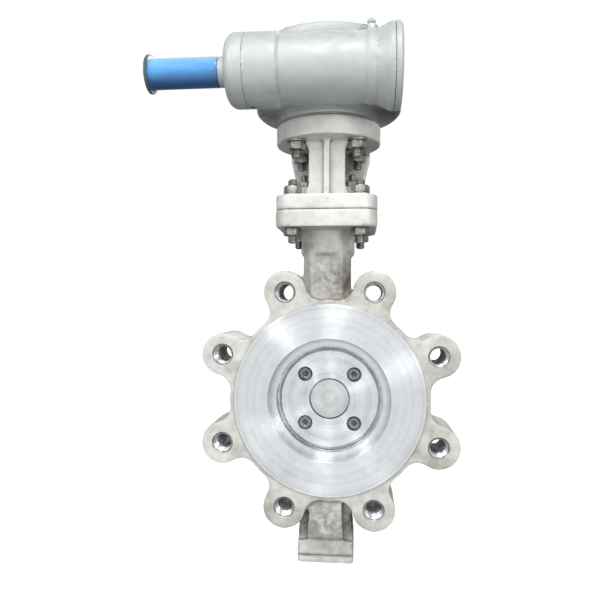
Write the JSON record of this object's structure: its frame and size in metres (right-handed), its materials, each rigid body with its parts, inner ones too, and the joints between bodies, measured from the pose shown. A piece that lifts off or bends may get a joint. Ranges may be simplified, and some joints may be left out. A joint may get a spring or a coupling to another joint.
{
  "type": "lug butterfly valve with worm gearbox",
  "caption": "Lug-type offset-disc butterfly valve with a bracket, a worm gearbox over the stem and a blue protective sleeve on its bare input shaft.",
  "frame": {"origin": "where the bore axis crosses the middle plane of the body", "axes": "+Y along the bore, from the disc's screwed side to its stem side; +Z along the stem to the gearbox; +X away from the input shaft"},
  "size_m": [0.2455, 0.1655, 0.4387],
  "materials": {
    "body_casting": "cast steel, sandblasted and thinly painted, faces machined bright",
    "seat_steel": "turned",
    "bronze": "machined",
    "gasket": "black fibre sheet",
    "cover_steel": "painted",
    "fasteners": "dull zinc",
    "stainless": "ground",
    "graphite": "pressed graphite",
    "gland_casting": "painted",
    "bracket_paint": "satin paint over casting",
    "gearbox_paint": "satin paint over casting",
    "zinc": "zinc",
    "indicator": "brushed",
    "pointer_paint": "satin",
    "seal_rubber": "moulded",
    "bearing_steel": "polished",
    "disc_casting": "cast, spigot machined",
    "seal_steel": "ground",
    "plate_steel": "turned",
    "gear_steel": "machined, greased",
    "wheel_iron": "cast, cut teeth",
    "sleeve_plastic": "glossy blue"
  },
  "bodies": {
    "valve": {"valve_body": "body_casting", "seat_ring": "seat_steel", "lower_bushing": "bronze", "upper_bushing": "bronze", "thrust_disc": "bronze", "bottom_cover_gasket": "gasket", "gearbox_flange_gasket": "gasket", "cover_gasket": "gasket", "input_cap_gasket": "gasket", "worm_end_gasket": "gasket", "bottom_cover": "cover_steel", "bottom_cover_screws": "fasteners", "gland_studs": "fasteners", "gland_nuts": "fasteners", "bracket_studs": "fasteners", "bracket_nuts": "fasteners", "bracket_washers": "fasteners", "gearbox_studs": "fasteners", "gearbox_nuts": "fasteners", "gearbox_washers": "fasteners", "cover_screws": "fasteners", "input_cap_lock_screw": "fasteners", "worm_end_screws": "fasteners", "stop_screws": "fasteners", "stop_locknuts": "fasteners", "packing_washer": "stainless", "gland_bushing": "stainless", "packing_rings": "graphite", "gland_flange": "gland_casting", "bracket": "bracket_paint", "gearbox_housing": "gearbox_paint", "gearbox_cover": "gearbox_paint", "input_end_cap": "gearbox_paint", "worm_end_cover": "gearbox_paint", "grease_nipple": "zinc", "indicator_plate": "indicator", "input_seal": "seal_rubber", "bearing_outer_rings": "bearing_steel", "bearing_balls": "bearing_steel"},
    "stem": {"stem": "stainless", "disc": "disc_casting", "seal_steel_layers": "seal_steel", "seal_graphite_layers": "graphite", "retaining_plate": "plate_steel", "retaining_screws": "stainless", "taper_pins": "stainless", "stem_key": "stainless", "wheel_key": "stainless", "drive_sleeve": "gear_steel", "worm_wheel": "wheel_iron", "pointer": "pointer_paint", "pointer_spacer": "zinc", "pointer_screw": "fasteners"},
    "input_shaft": {"worm_shaft": "gear_steel", "shaft_circlip": "stainless", "bearing_inner_rings": "bearing_steel"},
    "shaft_sleeve": {"shaft_sleeve": "sleeve_plastic"}
  },
  "joints": [
    {"name": "stem_turn", "type": "hinge", "parent": "valve", "child": "stem", "pos_m": [-0.0028, 0.0035, 0], "axis": [0, 0, 1], "range_deg": [0, 90]},
    {"name": "input_turn", "type": "hinge", "parent": "valve", "child": "input_shaft", "pos_m": [0, -0.0565, 0.2574], "axis": [1, 0, 0], "range_deg": [-2700, 0]},
    {"name": "sleeve_pull", "type": "slide", "parent": "input_shaft", "child": "shaft_sleeve", "axis": [-1, 0, 0], "range_m": [0, 0.06]}
  ],
  "couplings": [
    {"joint": "input_turn", "follows": "stem_turn", "ratio": -30}
  ]
}
